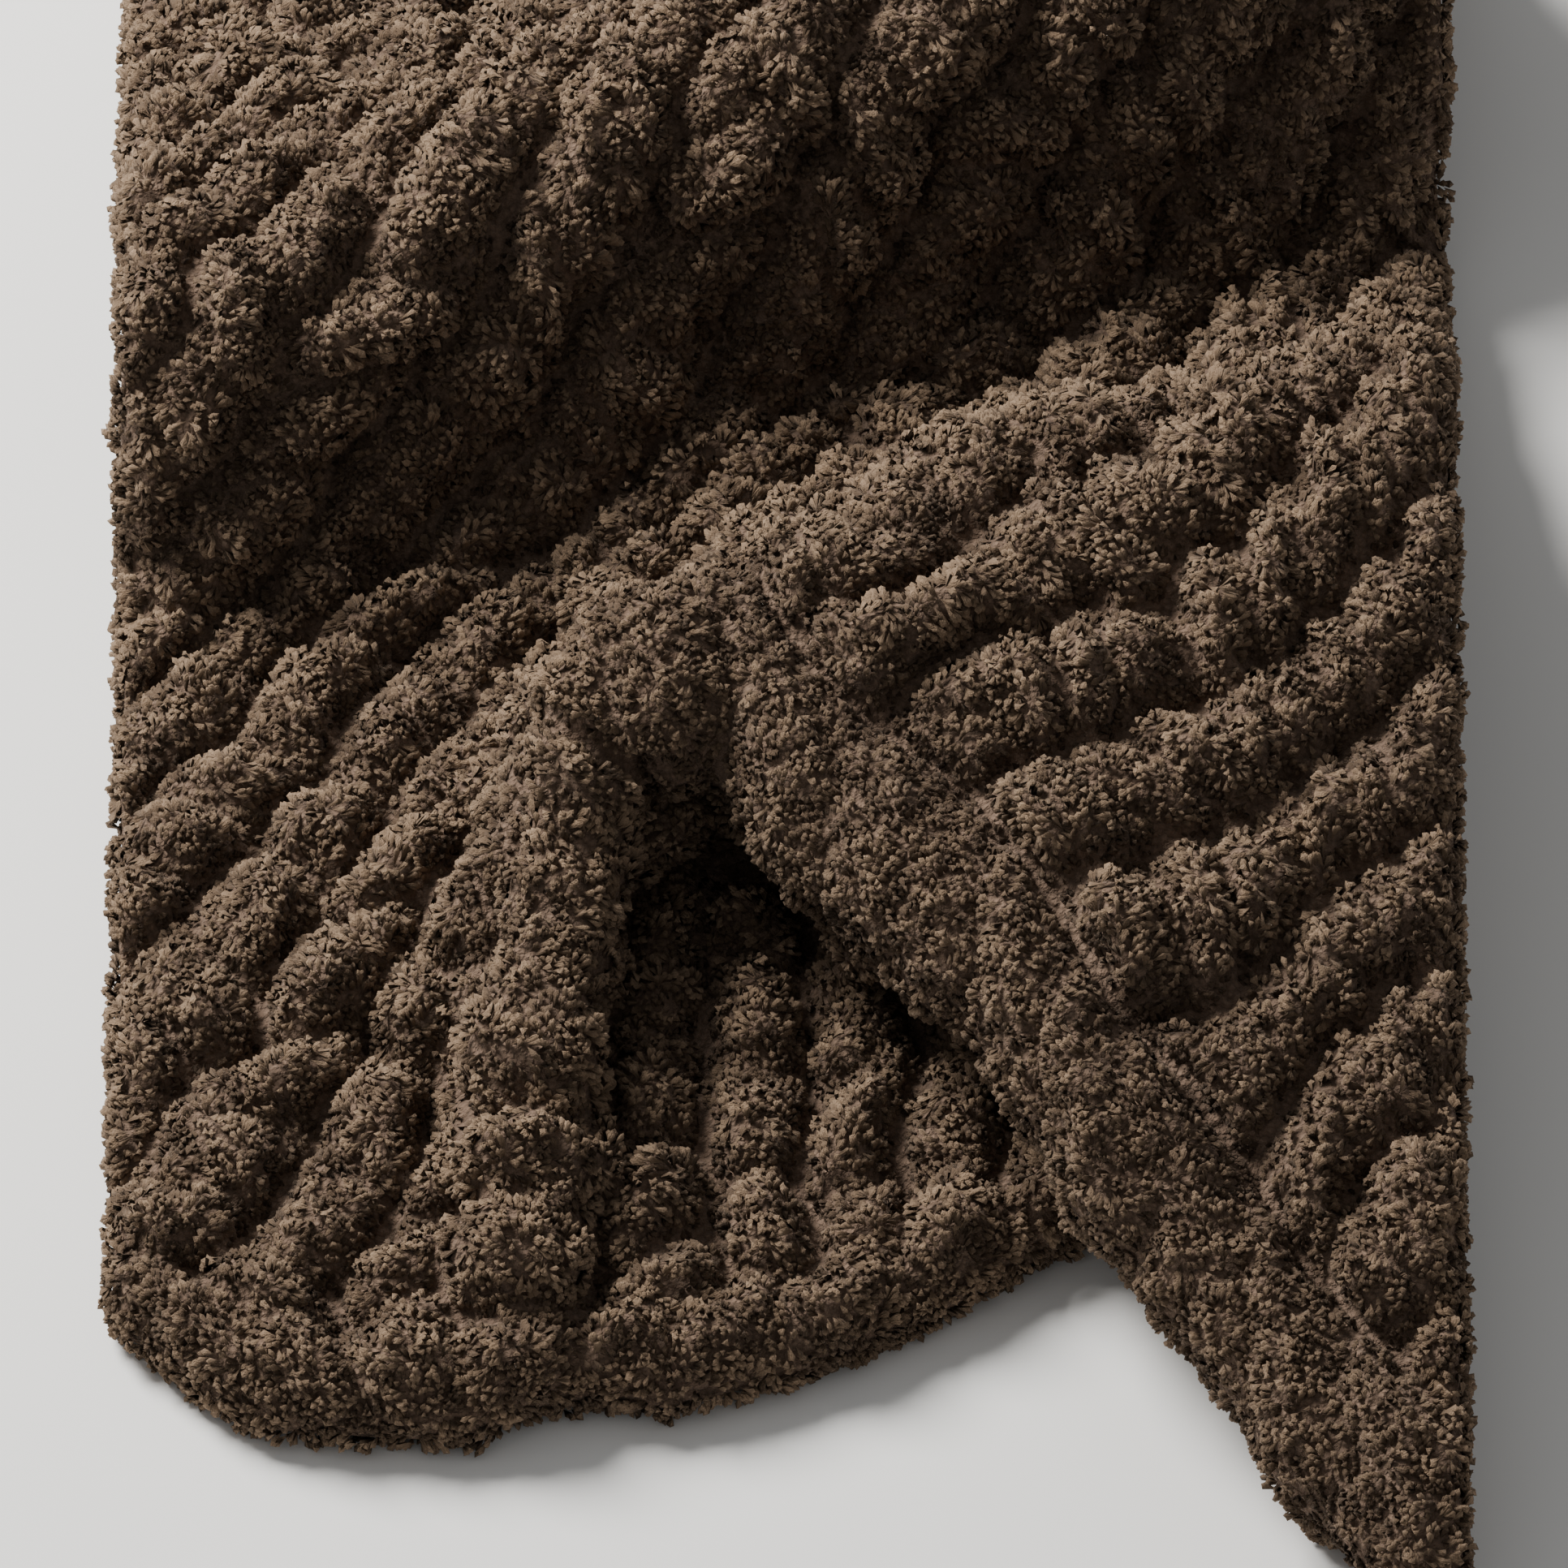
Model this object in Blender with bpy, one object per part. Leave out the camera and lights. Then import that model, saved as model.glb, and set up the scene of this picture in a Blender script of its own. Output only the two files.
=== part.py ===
"""A cut length of chunky chenille knit blanket, lying in two tall folds and a turned-over flap.

The cloth is one sheet with fat knitted ribs. Seen from the front (looking along +Y) it lies flat
at the lower left, rises into a back fold and a front fold, and right of the narrow ridge that
leads down to the hem it doubles back on itself, so a flap hangs over a small hollow and runs down
to the surface at the lower right. Blender units are metres; the tables are in millimetres.
"""

import math

import bmesh
import bpy
import numpy as np

MM = 0.001

# The sheet. Wander: how far ribs or stitches stray, in their own widths, and over what length.
# Half rib: half a rib's width between stitches, and how much a stitch adds, in ribs.
# Lip strand: from where to where it lies, counted along the cloth from the flap's rounded edge.
WIDTH = 326.0
STITCH_LENGTH = 32.0
STITCH_SLANT = 0.55
STITCH_SHIFT = 0.37
STITCH_SIZE = (0.75, 1.25)
RIB_WANDER = (0.10, 60.0)
STITCH_WANDER = (0.12, 45.0)
HALF_RIB = (0.42, 0.08)
CORE_HEIGHT = 3.5
BACK_HEIGHT = 9.0
RIB_RELIEF = 6.5
STITCH_RELIEF = 6.0
STRAND_LOBE = 26.0
HIDDEN_RELIEF = 3.0
EDGE_RADIUS = 13.0
EDGE_HEIGHT = 0.3
HALF_TURN = 13.0
TURN_BACK_HEIGHT = 6.0
BORDER_WIDTH = 27.0
BORDER_PLUMPNESS = 0.8
LIP_STRAND = (-14.0, 50.0)
LIP_LOBE = 42.0
LIP_PLUMPNESS = 0.5
LIP_GROOVE = 6.0

# The mesh before and after it is thinned
CELL_ACROSS = 4.6
CELL_ALONG = 5.0
VOXEL = 2.6
TRIANGLES = 11600

# Where the sheet runs, section by section from left to right. Each section is a cut at one x.
# front: the hem. root: the hidden turn under the flap. lip: the flap's rounded edge.
# fold: 0 where the cloth runs straight on, 1 where it doubles back at root and lip.
# root_turn, lip_turn: how deep the two turns are, front to back.
FRONT_COLUMNS = ("x", "front_y", "root_y", "root_z", "root_turn", "lip_y", "lip_z", "lip_turn", "fold",
                 "flap_y", "flap_z")
FRONT_FOLD = (
    (-163, -177, -134, 9, 11, -99, 9, 11, 0.00, -70, 10),
    (-122, -209, -162, 9, 12, -120, 10, 12, 0.00, -90, 11),
    (-76, -212, -168, 9, 12, -125, 10, 12, 0.00, -95, 12),
    (-63, -206, -150, 26, 12, -108, 37, 12, 0.00, -82, 44),
    (-50, -202, -84, 24, 12, -52, 50, 12, 0.35, -42, 60),
    (-41, -201, -46, 24, 13, -38, 61, 8, 0.85, -27, 73),
    (-29, -203, -36, 24, 13, -42, 60, 9, 1.00, -28, 75),
    (-17, -199, -26, 24, 13, -37, 59, 10, 1.00, -22, 75),
    (10, -190, -24, 22, 13, -74, 54, 14, 1.00, -42, 73),
    (55, -161, -50, 22, 13, -121, 49, 15, 1.00, -72, 69),
    (80, -143, -62, 22, 13, -167, 41, 18, 1.00, -96, 65),
    (105, -108, -58, 22, 13, -197, 30, 22, 1.00, -114, 58),
    (134, -76, -28, 22, 13, -244, 22, 26, 1.00, -146, 47),
    (163, -67, -19, 22, 13, -276, 22, 23, 1.00, -161, 49),
)

# crest_b: the front fold. slope: behind it. valley: between the folds. crest_a: the back fold.
BACK_COLUMNS = ("x", "crest_b_y", "crest_b_z", "slope_y", "slope_z", "valley_y", "valley_z",
                "crest_a_y", "crest_a_z", "behind_y", "behind_z", "back_y")
BACK_FOLD = (
    (-163, -41, 12, -8, 12, 29, 11, 80, 72, 160, 50, 271),
    (-122, -56, 13, -8, 13, 46, 11, 98, 74, 172, 50, 270),
    (-76, -64, 14, -10, 14, 66, 11, 124, 78, 188, 50, 268),
    (-63, -56, 42, -34, 20, 71, 11, 131, 80, 192, 51, 268),
    (-50, -30, 64, -12, 24, 75, 11, 138, 82, 196, 52, 269),
    (-41, -17, 74, 4, 28, 79, 11, 143, 83, 199, 53, 269),
    (-29, -14, 76, 12, 29, 84, 12, 149, 85, 204, 54, 270),
    (-17, -8, 77, 20, 32, 90, 12, 154, 87, 209, 55, 272),
    (10, 0, 77, 36, 37, 103, 13, 165, 91, 219, 57, 276),
    (55, 33, 77, 66, 37, 128, 14, 190, 95, 240, 60, 290),
    (105, 42, 77, 78, 38, 142, 15, 208, 96, 255, 60, 302),
    (163, 66, 77, 104, 38, 164, 16, 226, 96, 268, 58, 313),
)

# The rib that passes each fold line, counted across the sheet; whole numbers are grooves
RIB_COLUMNS = ("x", "front", "root", "lip", "crest_b", "valley", "crest_a", "back")
RIB_NUMBERS = (
    (-163, 1.9, 0.9, 0.3, -0.7, -2.4, -4.3, -10.9),
    (-122, 3.1, 2.4, 1.7, 0.6, -1.5, -3.4, -9.9),
    (-76, 4.1, 3.9, 3.6, 2.6, -0.5, -2.3, -8.8),
    (-63, 4.5, 4.4, 4.3, 3.7, -0.3, -2.0, -8.5),
    (-50, 4.9, 4.9, 4.8, 4.1, -0.1, -1.7, -8.2),
    (-41, 5.2, 5.2, 5.1, 4.3, 0.1, -1.5, -8.0),
    (-29, 5.7, 5.7, 5.6, 4.4, 0.4, -1.2, -7.7),
    (-17, 6.1, 6.1, 6.0, 4.5, 0.7, -0.9, -7.4),
    (10, 7.2, 7.2, 6.9, 4.5, 1.4, -0.3, -6.8),
    (55, 8.9, 8.9, 8.3, 4.6, 2.5, 0.7, -5.9),
    (80, 9.9, 9.9, 9.4, 4.9, 3.1, 1.3, -5.3),
    (105, 10.8, 10.8, 10.3, 5.3, 3.7, 1.9, -4.8),
    (134, 11.8, 11.8, 11.6, 5.8, 4.4, 2.6, -4.1),
    (163, 12.8, 12.8, 12.7, 6.4, 5.2, 3.3, -3.4),
)

# Fold lines in order along the sheet, and which of them carry a rib number
LINES = ("front", "lower", "root_under", "root", "root_over", "middle", "lip_under", "lip", "lip_over",
         "flap", "crest_b", "slope", "valley", "rise", "crest_a", "behind", "foot", "back")
RIB_LINES = {"front": 0, "root": 3, "lip": 7, "crest_b": 10, "valley": 12, "crest_a": 14, "back": 17}


def smooth_tangents(knots, values):
    """Slopes of a curve through the values that never overshoots them."""
    steps = np.diff(knots)
    rises = np.diff(values) / steps
    slopes = np.zeros(len(values))
    slopes[0] = rises[0]
    slopes[-1] = rises[-1]
    for i in range(1, len(values) - 1):
        if rises[i - 1] * rises[i] > 0:
            before = steps[i - 1] + 2 * steps[i]
            after = 2 * steps[i - 1] + steps[i]
            slopes[i] = (before + after) / (before / rises[i] + after / rises[i - 1])
    return slopes


def smooth_between(knots, values, places):
    """A smooth curve through the values, read at the places."""
    knots = np.asarray(knots, float)
    values = np.asarray(values, float)
    slopes = smooth_tangents(knots, values)
    cell = np.clip(np.searchsorted(knots, places) - 1, 0, len(knots) - 2)
    width = knots[cell + 1] - knots[cell]
    t = (places - knots[cell]) / width
    start = values[cell] * (1 + 2 * t) * (1 - t) ** 2 + slopes[cell] * width * t * (1 - t) ** 2
    end = values[cell + 1] * t * t * (3 - 2 * t) - slopes[cell + 1] * width * t * t * (1 - t)
    return start + end


def read_table(columns, rows, across):
    """Every column of a table, carried smoothly from section to section."""
    table = np.array(rows, float)
    return {
        name: smooth_between(table[:, 0], table[:, k], across)
        for k, name in enumerate(columns)
        if k > 0
    }


def fold_lines(across):
    """The sheet's middle surface at each fold line: an array of (line, section, y or z)."""
    f = read_table(FRONT_COLUMNS, FRONT_FOLD, across)
    b = read_table(BACK_COLUMNS, BACK_FOLD, across)
    floor_z = np.full(len(across), BACK_HEIGHT)
    straight = 1 - 2 * f["fold"]
    lift = f["fold"] * HALF_TURN
    root_under = (f["root_y"] - f["root_turn"], f["root_z"] - lift)
    root_over = (f["root_y"] + straight * f["root_turn"], f["root_z"] + lift)
    lip_under = (f["lip_y"] - straight * f["lip_turn"], f["lip_z"] - lift)
    lip_over = (f["lip_y"] + f["lip_turn"], f["lip_z"] + lift)
    lower = (0.5 * (f["front_y"] + root_under[0]), 0.6 * floor_z + 0.4 * root_under[1])
    middle = (0.5 * (root_over[0] + lip_under[0]), 0.5 * (root_over[1] + lip_under[1]))
    rise = (0.45 * b["valley_y"] + 0.55 * b["crest_a_y"], 0.5 * (b["valley_z"] + b["crest_a_z"]))
    lines = (
        (f["front_y"], floor_z),
        lower,
        root_under,
        (f["root_y"], f["root_z"]),
        root_over,
        middle,
        lip_under,
        (f["lip_y"], f["lip_z"]),
        lip_over,
        (f["flap_y"], f["flap_z"]),
        (b["crest_b_y"], b["crest_b_z"]),
        (b["slope_y"], b["slope_z"]),
        (b["valley_y"], b["valley_z"]),
        rise,
        (b["crest_a_y"], b["crest_a_z"]),
        (b["behind_y"], b["behind_z"]),
        (b["back_y"] - 26.0, floor_z + 3.0),
        (b["back_y"], floor_z),
    )
    return np.array(lines).transpose(0, 2, 1)


def curve_through(points, counts):
    """A curve through the fold lines of every section at once, with a count of steps a stretch."""
    chord = np.linalg.norm(np.diff(points, axis=0), axis=2)
    step = np.sqrt(np.maximum(chord, 1e-6))[:, :, None]
    rise = np.diff(points, axis=0) / step
    slope = np.empty_like(points)
    slope[0] = rise[0]
    slope[-1] = rise[-1]
    slope[1:-1] = rise[:-1] + rise[1:] - (points[2:] - points[:-2]) / (step[:-1] + step[1:])
    rows = []
    for k, count in enumerate(counts):
        for n in range(count):
            t = n / count
            rows.append(
                points[k] * (1 + 2 * t) * (1 - t) ** 2
                + slope[k] * step[k] * t * (1 - t) ** 2
                + points[k + 1] * t * t * (3 - 2 * t)
                - slope[k + 1] * step[k] * t * t * (1 - t)
            )
    rows.append(points[-1])
    return np.array(rows)


def middle_surface(across):
    """The sheet's middle surface, as (row along, column across, xyz), in millimetres."""
    lines = fold_lines(across)
    stretch = np.linalg.norm(np.diff(lines, axis=0), axis=2)
    longest = 0.5 * (stretch.mean(axis=1) + stretch.max(axis=1))
    counts = [max(2, math.ceil(length / CELL_ALONG)) for length in longest]
    curves = curve_through(lines, counts)
    surface = np.empty((curves.shape[0], len(across), 3))
    surface[:, :, 0] = across
    surface[:, :, 1:] = curves
    starts = np.concatenate([[0], np.cumsum(counts)])
    return surface, starts


def lengths_along(surface):
    """How far each point is from the hem, measured along the sheet."""
    steps = np.linalg.norm(np.diff(surface, axis=0), axis=2)
    return np.vstack([np.zeros(surface.shape[1]), np.cumsum(steps, axis=0)])


def rib_numbers(across, along, starts):
    """The rib count at every point, carried smoothly from fold line to fold line."""
    named = read_table(RIB_COLUMNS, RIB_NUMBERS, across)
    rows = [starts[line] for line in RIB_LINES.values()]
    numbers = np.empty_like(along)
    for i in range(len(across)):
        known = [named[name][i] for name in RIB_LINES]
        numbers[:, i] = smooth_between(along[rows, i], known, along[:, i])
    return numbers


def distance_to_edge(across, along):
    """The distance from each point to the nearest cut edge, and to the hem or far edge alone."""
    sides = WIDTH / 2 - np.abs(across)
    ends = np.minimum(along, along[-1] - along)
    return np.minimum(ends, sides[None, :]), ends


def by_stitch(rib, stitch, salt):
    """A steady but uneven number from 0 to 1 for each stitch."""
    mixed = np.sin(rib * 12.9898 + stitch * 78.233 + salt * 37.719) * 43758.5453
    return mixed - np.floor(mixed)


def wavering(across, along, pitch, salt):
    """A smooth uneven number from about -1 to 1, changing over the pitch."""
    total = np.zeros_like(along)
    for n in range(4):
        turn = 2.399 * n + 1.7 * salt
        bend = 2 * np.pi / (pitch * (0.8 + 0.35 * n))
        total += np.sin(bend * (across[None, :] * math.cos(turn) + along * math.sin(turn)) + 5.1 * n + salt)
    return total / 2.5


def rounded(wave):
    """Plump lobes with narrow gaps between them, from a wave that runs from -1 to 1."""
    return np.abs(wave) ** 0.6


def relief(across, ribs, along, edge):
    """Height of the knit above the sheet's core: plump slanted stitches in ribs, with deep grooves."""
    stray, pitch = RIB_WANDER
    ribs = ribs + stray * wavering(across, along, pitch, 1)
    column = np.floor(ribs)
    inside = ribs - column - 0.5
    leg = 1 - 2 * np.mod(column, 2)
    stray, pitch = STITCH_WANDER
    stitch = along / STITCH_LENGTH + STITCH_SHIFT * column + STITCH_SLANT * leg * inside
    stitch += stray * wavering(across, along, pitch, 2)
    lobe = rounded(np.sin(np.pi * stitch))
    smallest, largest = STITCH_SIZE
    size = smallest + (largest - smallest) * by_stitch(column, np.floor(stitch), 1)
    narrow, wider = HALF_RIB
    rib = np.sqrt(np.clip(1 - (inside / (narrow + wider * lobe * size)) ** 2, 0, 1))
    knit = rib * (RIB_RELIEF + STITCH_RELIEF * lobe * size)
    bead = across / STRAND_LOBE + 0.16 * wavering(across, along, 70.0, 3)
    border = np.clip(1 - edge / BORDER_WIDTH, 0, 1) ** 0.3
    edging = strand(edge / BORDER_WIDTH, bead, BORDER_PLUMPNESS)
    return knit * (1 - border) + edging * border


def strand(place, bead, plumpness):
    """One fat strand that borders the ribs: place runs from 0 to 1 across it, bead counts its lobes."""
    lobe = plumpness * rounded(np.sin(np.pi * bead))
    return np.sqrt(np.sin(np.pi * np.clip(place, 0, 1))) * (RIB_RELIEF + STITCH_RELIEF * lobe)


def add_lip_strand(height, surface, across, along, starts, doubled):
    """Lays the fat strand along the flap's rounded edge, where the ribs end in a groove."""
    row = starts[LINES.index("lip")]
    steps = np.linalg.norm(np.diff(surface[row], axis=0), axis=1)
    run = np.concatenate([[0], np.cumsum(steps)])
    first, last = LIP_STRAND
    place = (along - along[row] - first) / (last - first)
    bead = run[None, :] / LIP_LOBE + 0.35 * place + 0.25 * wavering(across, along, 50.0, 5)
    within = doubled * np.clip(8 * place, 0, 1) * np.clip(8 * (1 - place), 0, 1)
    groove = 1 - doubled * np.exp(-(((along - along[row] - last) / LIP_GROOVE) ** 2))
    return (height * (1 - within) + strand(place, bead, LIP_PLUMPNESS) * within) * groove


def between_lines(starts, rows, first, last):
    """1 between two fold lines, falling softly to 0 outside them."""
    inside = np.zeros(rows)
    inside[starts[LINES.index(first)]:starts[LINES.index(last)] + 1] = 1.0
    soft = np.convolve(np.pad(inside, 3, mode="edge"), np.ones(7) / 7, mode="valid")
    return soft[:, None]


def build_sheet():
    """Both faces of the sheet as one closed grid of points and quads."""
    across = np.linspace(-WIDTH / 2, WIDTH / 2, round(WIDTH / CELL_ACROSS) + 1)
    surface, starts = middle_surface(across)
    along = lengths_along(surface)
    ribs = rib_numbers(across, along, starts)
    edge, ends = distance_to_edge(across, along)
    height = relief(across, ribs, along, ends)
    doubled = np.clip(1.5 * read_table(FRONT_COLUMNS, FRONT_FOLD, across)["fold"] - 0.5, 0, 1)
    height = add_lip_strand(height, surface, across, along, starts, doubled)
    hidden = doubled * between_lines(starts, len(along), "root_under", "lip_under")
    height += (HIDDEN_RELIEF - height) * hidden
    turned = doubled * between_lines(starts, len(along), "lip_under", "lip_over")
    back = BACK_HEIGHT + (TURN_BACK_HEIGHT - BACK_HEIGHT) * turned

    by_row = np.gradient(surface, axis=0)
    by_column = np.gradient(surface, axis=1)
    normal = np.cross(by_column, by_row)
    normal /= np.linalg.norm(normal, axis=2, keepdims=True)

    inward = np.clip(edge / EDGE_RADIUS, 0, 1)
    round_off = EDGE_HEIGHT + (1 - EDGE_HEIGHT) * np.sqrt(1 - (1 - inward) ** 2)
    upper = surface + normal * ((CORE_HEIGHT + height) * round_off)[:, :, None]
    under = surface - normal * (back * round_off)[:, :, None]
    under[:, :, 2] = np.maximum(under[:, :, 2], 0.0)
    return upper, under


def make_mesh(name, upper, under):
    """Joins the two faces with a strip all round into one closed mesh."""
    rows, columns = upper.shape[:2]
    top = np.arange(rows * columns).reshape(rows, columns)
    bottom = top + rows * columns
    points = np.vstack([upper.reshape(-1, 3), under.reshape(-1, 3)]) * MM
    faces = []
    for j in range(rows - 1):
        for i in range(columns - 1):
            faces.append((top[j, i], top[j, i + 1], top[j + 1, i + 1], top[j + 1, i]))
            faces.append((bottom[j, i], bottom[j + 1, i], bottom[j + 1, i + 1], bottom[j, i + 1]))
    rim = [(0, i) for i in range(columns - 1)]
    rim += [(j, columns - 1) for j in range(rows - 1)]
    rim += [(rows - 1, i) for i in range(columns - 1, 0, -1)]
    rim += [(j, 0) for j in range(rows - 1, 0, -1)]
    for here, after in zip(rim, rim[1:] + rim[:1]):
        faces.append((top[after], top[here], bottom[here], bottom[after]))
    mesh = bpy.data.meshes.new(name)
    mesh.from_pydata(points.tolist(), [], [tuple(int(n) for n in face) for face in faces])
    mesh.validate()
    return mesh


def chenille():
    """Dark warm brown chenille yarn."""
    material = bpy.data.materials.new("chenille")
    material.use_nodes = True
    shader = material.node_tree.nodes["Principled BSDF"]
    shader.inputs["Base Color"].default_value = (0.105, 0.066, 0.045, 1.0)
    shader.inputs["Roughness"].default_value = 0.95
    shader.inputs["Metallic"].default_value = 0.0
    return material


def evaluated(blanket):
    """The blanket's mesh with its modifiers applied."""
    graph = bpy.context.evaluated_depsgraph_get()
    mesh = bpy.data.meshes.new_from_object(blanket.evaluated_get(graph))
    blanket.modifiers.clear()
    return mesh


def largest_shell(mesh):
    """Removes the small closed pockets that touching folds leave inside."""
    work = bmesh.new()
    work.from_mesh(mesh)
    unseen = set(work.verts)
    shells = []
    while unseen:
        reached = {unseen.pop()}
        front = list(reached)
        while front:
            for edge in front.pop().link_edges:
                for vertex in edge.verts:
                    if vertex not in reached:
                        reached.add(vertex)
                        front.append(vertex)
        unseen -= reached
        shells.append(reached)
    shells.sort(key=len)
    for shell in shells[:-1]:
        bmesh.ops.delete(work, geom=list(shell), context="VERTS")
    work.to_mesh(mesh)
    work.free()


def rest_on_surface(mesh, reach):
    """Sets the points within reach of the surface exactly on it."""
    for vertex in mesh.vertices:
        if vertex.co.z < reach:
            vertex.co.z = 0.0


def close_folds(blanket):
    """Fuses the yarn where tight folds press together, as one clean closed surface."""
    remesh = blanket.modifiers.new("Remesh", "REMESH")
    remesh.mode = "VOXEL"
    remesh.voxel_size = VOXEL * MM
    remesh.adaptivity = 0.0
    blanket.data = evaluated(blanket)
    largest_shell(blanket.data)
    rest_on_surface(blanket.data, 0.4 * VOXEL * MM)


def thin_out(blanket):
    """Thins the mesh where it is flat and keeps it where it bends."""
    triangulate = blanket.modifiers.new("Triangulate", "TRIANGULATE")
    triangulate.quad_method = "SHORTEST_DIAGONAL"
    decimate = blanket.modifiers.new("Decimate", "DECIMATE")
    decimate.ratio = TRIANGLES / (2 * len(blanket.data.polygons))
    blanket.data = evaluated(blanket)
    rest_on_surface(blanket.data, 0.05 * MM)


def centre_on_origin(mesh):
    """Moves the mesh so that the middle of its outline from above is at the origin."""
    for axis in (0, 1):
        places = [vertex.co[axis] for vertex in mesh.vertices]
        middle = 0.5 * (min(places) + max(places))
        for vertex in mesh.vertices:
            vertex.co[axis] -= middle


def build():
    for old in list(bpy.data.objects):
        bpy.data.objects.remove(old, do_unlink=True)
    upper, under = build_sheet()
    blanket = bpy.data.objects.new("blanket", make_mesh("blanket", upper, under))
    bpy.context.scene.collection.objects.link(blanket)
    close_folds(blanket)
    thin_out(blanket)
    centre_on_origin(blanket.data)
    blanket.data.materials.append(chenille())


build()
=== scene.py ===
"""Looks for the chunky knit blanket: its cloth, its chenille pile, the floor, lights and camera.

The cloth's folds come from the same tables as the part's. The tables and all sizes of the cloth and its
pile are in millimetres, seen from the front (looking along +Y). The floor, lights and camera are in metres.
"""

import math

import bpy
import numpy as np
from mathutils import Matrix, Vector
from mathutils.bvhtree import BVHTree
from mathutils.kdtree import KDTree


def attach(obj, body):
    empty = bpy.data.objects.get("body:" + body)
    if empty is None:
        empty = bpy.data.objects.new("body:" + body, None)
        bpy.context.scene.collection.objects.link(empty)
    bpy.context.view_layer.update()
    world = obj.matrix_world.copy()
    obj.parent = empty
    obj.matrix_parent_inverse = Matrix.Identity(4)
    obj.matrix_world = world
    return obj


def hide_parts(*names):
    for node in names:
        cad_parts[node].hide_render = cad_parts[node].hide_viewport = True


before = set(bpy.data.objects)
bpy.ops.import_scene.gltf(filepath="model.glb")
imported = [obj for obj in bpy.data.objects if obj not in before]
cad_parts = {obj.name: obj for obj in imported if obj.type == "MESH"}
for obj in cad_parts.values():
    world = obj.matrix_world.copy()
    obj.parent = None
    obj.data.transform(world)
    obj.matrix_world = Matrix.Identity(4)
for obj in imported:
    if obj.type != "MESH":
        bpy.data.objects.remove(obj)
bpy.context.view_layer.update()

MM = 0.001

# The sheet, with the knit raised as on the part and some more
WIDTH = 326.0
STITCH_LENGTH = 32.0
STITCH_SLANT = 0.55
STITCH_SHIFT = 0.37
STITCH_SIZE = (0.65, 1.35)
HALF_RIB = (0.38, 0.10)
LOBE_POWER = 0.6
CORE_HEIGHT = 1.0
BACK_HEIGHT = 9.0
RIB_RELIEF = 6.0
STITCH_RELIEF = 9.5
HIDDEN_RELIEF = 3.0
EDGE_RADIUS = 13.0
EDGE_HEIGHT = 0.3
HALF_TURN = 13.0
TURN_BACK_HEIGHT = 6.0
DOUBLED_FROM = 1 / 3

# The fat strand along the hem, and the one along the flap's rounded edge
BORDER_WIDTH = 27.0
BORDER_LOBE = 26.0
BORDER_PLUMPNESS = 0.8
BORDER_BLEND = 0.3
LIP_STRAND = (-14.0, 50.0)
LIP_LOBE = 42.0
LIP_PLUMPNESS = 0.5
LIP_SLANT = 0.35
LIP_FADE = 8.0
LIP_GROOVE = 6.0

# How far the knit strays from an even one, and over what distance
RIB_WANDER = (0.13, 60.0)
STITCH_WANDER = (0.18, 45.0)
BORDER_WANDER = (0.16, 70.0)
LIP_WANDER = (0.25, 50.0)
LUMPS = (1.6, 14.0)

# Uneven patterns: some waves laid over each other, each turned, longer and later than the one before
WAVES = 4
WAVE_TURN = 2.399
WAVE_LENGTH = (0.8, 0.35)
WAVE_START = 5.1
WAVE_HEIGHT = 2.5
PATTERN_TURN = 1.7
SCRAMBLE = (12.9898, 78.233, 37.719, 43758.5453)

# How finely the sheet is worked out
CELL = 2.5
FEWEST_STEPS = 3
SOFT_ROWS = 6
VOXEL = 3.0
FLOOR_SNAP = 0.4 * VOXEL
MEASURED_SECTIONS = 27

# Where the sheet runs, section by section from left to right. Each section is a cut at one x.
FRONT_COLUMNS = ("x", "front_y", "root_y", "root_z", "root_turn", "lip_y", "lip_z", "lip_turn", "fold",
                 "flap_y", "flap_z")
FRONT_FOLD = (
    (-163, -177, -134, 9, 11, -99, 9, 11, 0.00, -70, 10),
    (-122, -209, -162, 9, 12, -120, 10, 12, 0.00, -90, 11),
    (-76, -212, -168, 9, 12, -125, 10, 12, 0.00, -95, 12),
    (-63, -206, -150, 26, 12, -108, 37, 12, 0.00, -82, 44),
    (-50, -202, -84, 24, 12, -52, 50, 12, 0.35, -42, 60),
    (-41, -201, -46, 24, 13, -38, 61, 8, 0.85, -27, 73),
    (-29, -203, -36, 24, 13, -42, 60, 9, 1.00, -28, 75),
    (-17, -199, -26, 24, 13, -37, 59, 10, 1.00, -22, 75),
    (10, -190, -24, 22, 13, -74, 54, 14, 1.00, -42, 73),
    (55, -161, -50, 22, 13, -121, 49, 15, 1.00, -72, 69),
    (80, -143, -62, 22, 13, -167, 41, 18, 1.00, -96, 65),
    (105, -108, -58, 22, 13, -197, 30, 22, 1.00, -114, 58),
    (134, -76, -28, 22, 13, -244, 22, 26, 1.00, -146, 47),
    (163, -67, -19, 22, 13, -276, 22, 23, 1.00, -161, 49),
)
BACK_COLUMNS = ("x", "crest_b_y", "crest_b_z", "slope_y", "slope_z", "valley_y", "valley_z",
                "crest_a_y", "crest_a_z", "behind_y", "behind_z", "back_y")
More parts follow.
